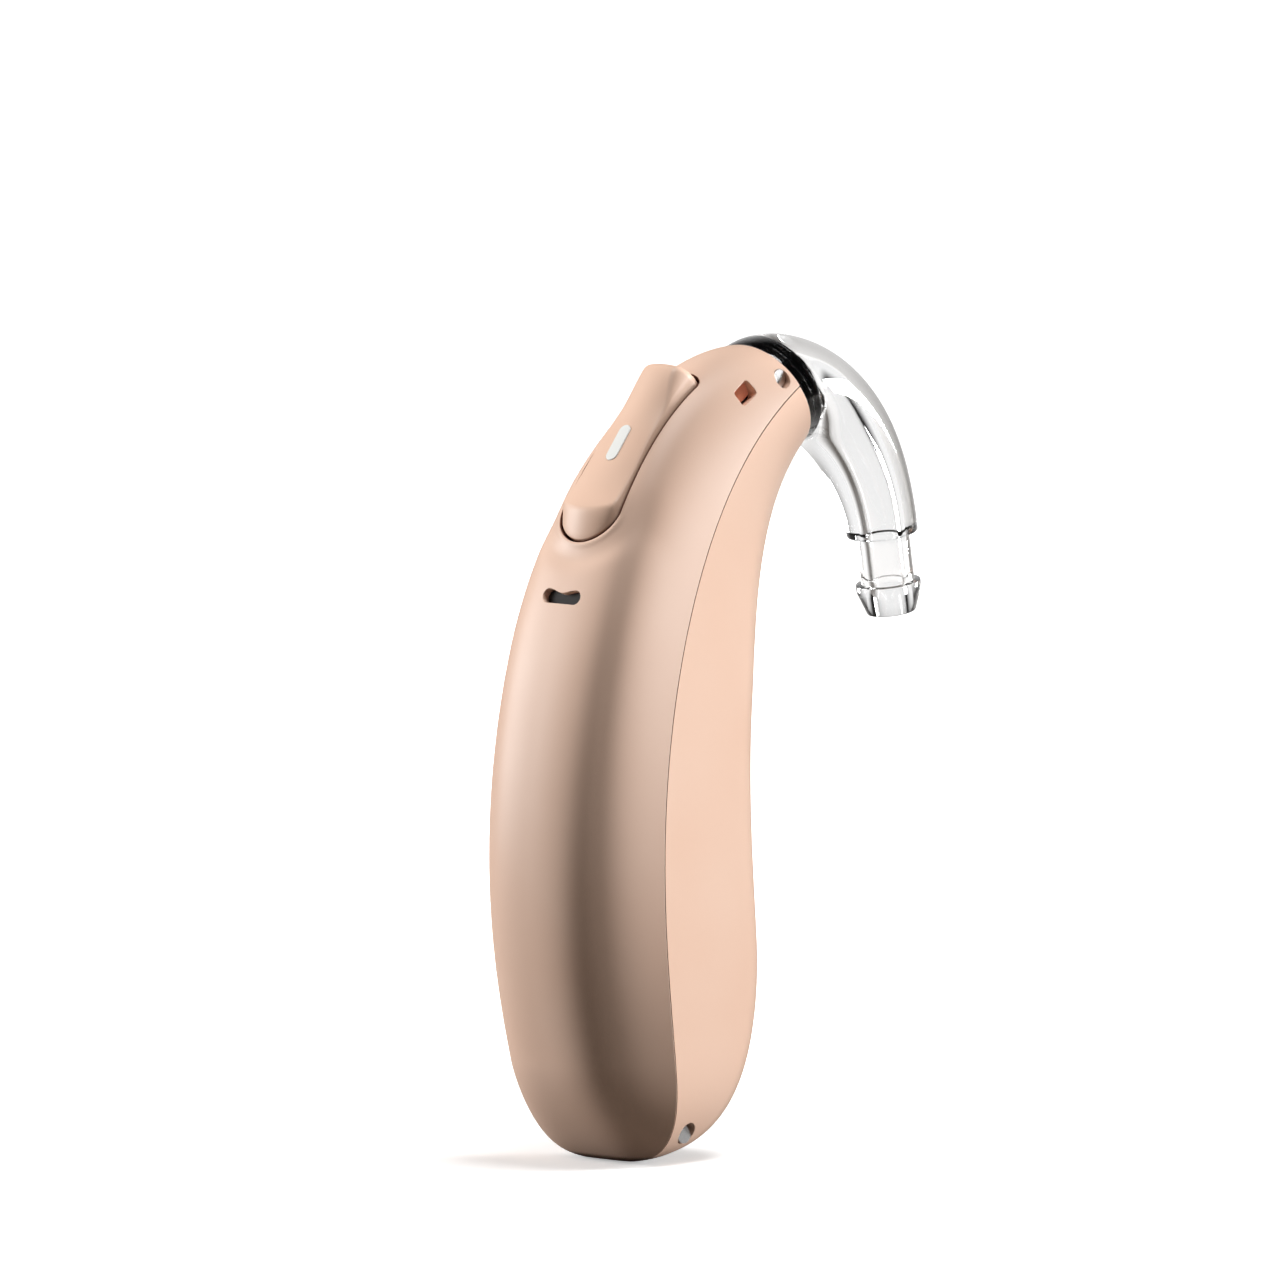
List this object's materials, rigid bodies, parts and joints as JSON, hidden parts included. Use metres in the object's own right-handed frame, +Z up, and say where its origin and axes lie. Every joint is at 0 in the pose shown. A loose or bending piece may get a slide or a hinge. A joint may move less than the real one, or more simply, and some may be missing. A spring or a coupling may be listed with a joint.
{
  "type": "behind-the-ear hearing aid",
  "caption": "Slim curved hearing aid worn behind the ear, with a tilting volume rocker and a clear ear hook whose barbed tip takes sound tubing.",
  "frame": {"origin": "on the surface that the rounded base stands on, under the middle of the whole part's box", "axes": "+X forward to the ear hook, +Y to the wearer's left when worn, +Z up from the base to the hook"},
  "size_m": [0.0284, 0.0094, 0.0397],
  "materials": {
    "housing": "satin",
    "light_guide": "gloss",
    "soft_rubber": "matte",
    "pin_steel": "satin",
    "circuit_board": "satin",
    "chip_black": "matte",
    "gold_plate": "satin",
    "copper_film": "satin",
    "mesh_screen": "matte",
    "collar_black": "gloss",
    "clear_hook": "gloss",
    "chassis_grey": "matte"
  },
  "bodies": {
    "housing": {"spine_shell": "housing", "front_shell": "housing", "seam_gasket": "soft_rubber", "rocker_axle": "pin_steel", "switch_board": "circuit_board", "volume_up_switch": "pin_steel", "volume_down_switch": "pin_steel", "status_led": "light_guide", "rear_microphone": "gold_plate", "rear_mic_gasket": "soft_rubber", "rear_mic_screen": "mesh_screen", "front_microphone": "gold_plate", "front_mic_gasket": "soft_rubber", "front_mic_screens": "mesh_screen", "receiver": "pin_steel", "receiver_boot": "soft_rubber", "receiver_tube": "soft_rubber", "hook_collar": "collar_black", "collar_pin": "pin_steel", "ear_hook": "clear_hook", "base_pin": "pin_steel", "chassis": "chassis_grey", "main_board": "circuit_board", "signal_processor": "chip_black", "radio_module": "pin_steel", "power_module": "chip_black", "antenna": "copper_film", "telecoil": "copper_film", "battery_cell": "pin_steel", "battery_tab_left": "pin_steel", "battery_tab_right": "pin_steel", "charge_contacts": "gold_plate", "charge_flex": "copper_film"},
    "rocker": {"rocker_button": "housing", "status_lens": "light_guide"}
  },
  "joints": [
    {"name": "rocker_tilt", "type": "hinge", "parent": "housing", "child": "rocker", "pos_m": [-0.00561, 0, 0.03323], "axis": [0, 1, 0], "range_deg": [-2, 2], "stiffness_Nm_per_rad": 0.002}
  ]
}
